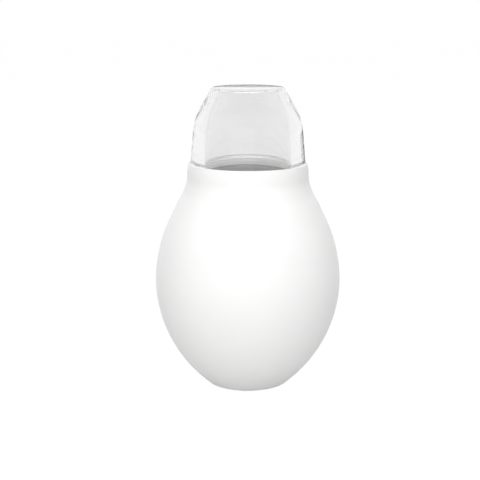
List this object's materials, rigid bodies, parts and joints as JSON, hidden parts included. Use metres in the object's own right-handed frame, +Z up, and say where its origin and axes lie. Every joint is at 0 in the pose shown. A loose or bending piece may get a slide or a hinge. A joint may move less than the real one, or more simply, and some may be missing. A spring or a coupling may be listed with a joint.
{
  "type": "nasal aspirator",
  "caption": "Hand-squeezed baby nasal aspirator: soft egg-shaped bulb, clear domed cap, and a nozzle head that stores upside down in the bulb's mouth.",
  "frame": {"origin": "middle of the bulb's flat base, on the surface it stands on", "axes": "+Z up along the axis that the bulb, cap and nozzle head are turned about; X and Y across, with the bayonet lugs on X"},
  "size_m": [0.0548, 0.0548, 0.0891],
  "materials": {
    "white_silicone": "matte soft silicone",
    "clear_plastic": "clear, polished",
    "white_plastic": "satin white",
    "grey_silicone": "matte grey silicone",
    "soft_tip": "matte translucent silicone"
  },
  "bodies": {
    "bulb": {"squeeze_bulb": "white_silicone"},
    "head": {"head_collar": "white_plastic", "collar_seal": "grey_silicone", "splash_guard": "grey_silicone"},
    "cap": {"protective_cap": "clear_plastic"},
    "chamber": {"nozzle_chamber": "clear_plastic", "chamber_seal": "grey_silicone"},
    "tip": {"nozzle_tip": "soft_tip"}
  },
  "joints": [
    {"name": "head_lift", "type": "slide", "parent": "bulb", "child": "head", "axis": [0, 0, 1], "range_m": [0, 0.045]},
    {"name": "cap_lift", "type": "slide", "parent": "head", "child": "cap", "axis": [0, 0, 1], "range_m": [0, 0.03]},
    {"name": "chamber_twist", "type": "hinge", "parent": "head", "child": "chamber", "pos_m": [0, 0, 0.05765], "axis": [0, 0, 1], "range_deg": [-40, 0]},
    {"name": "tip_pull", "type": "slide", "parent": "chamber", "child": "tip", "axis": [0, 0, -1], "range_m": [0, 0.008]}
  ]
}
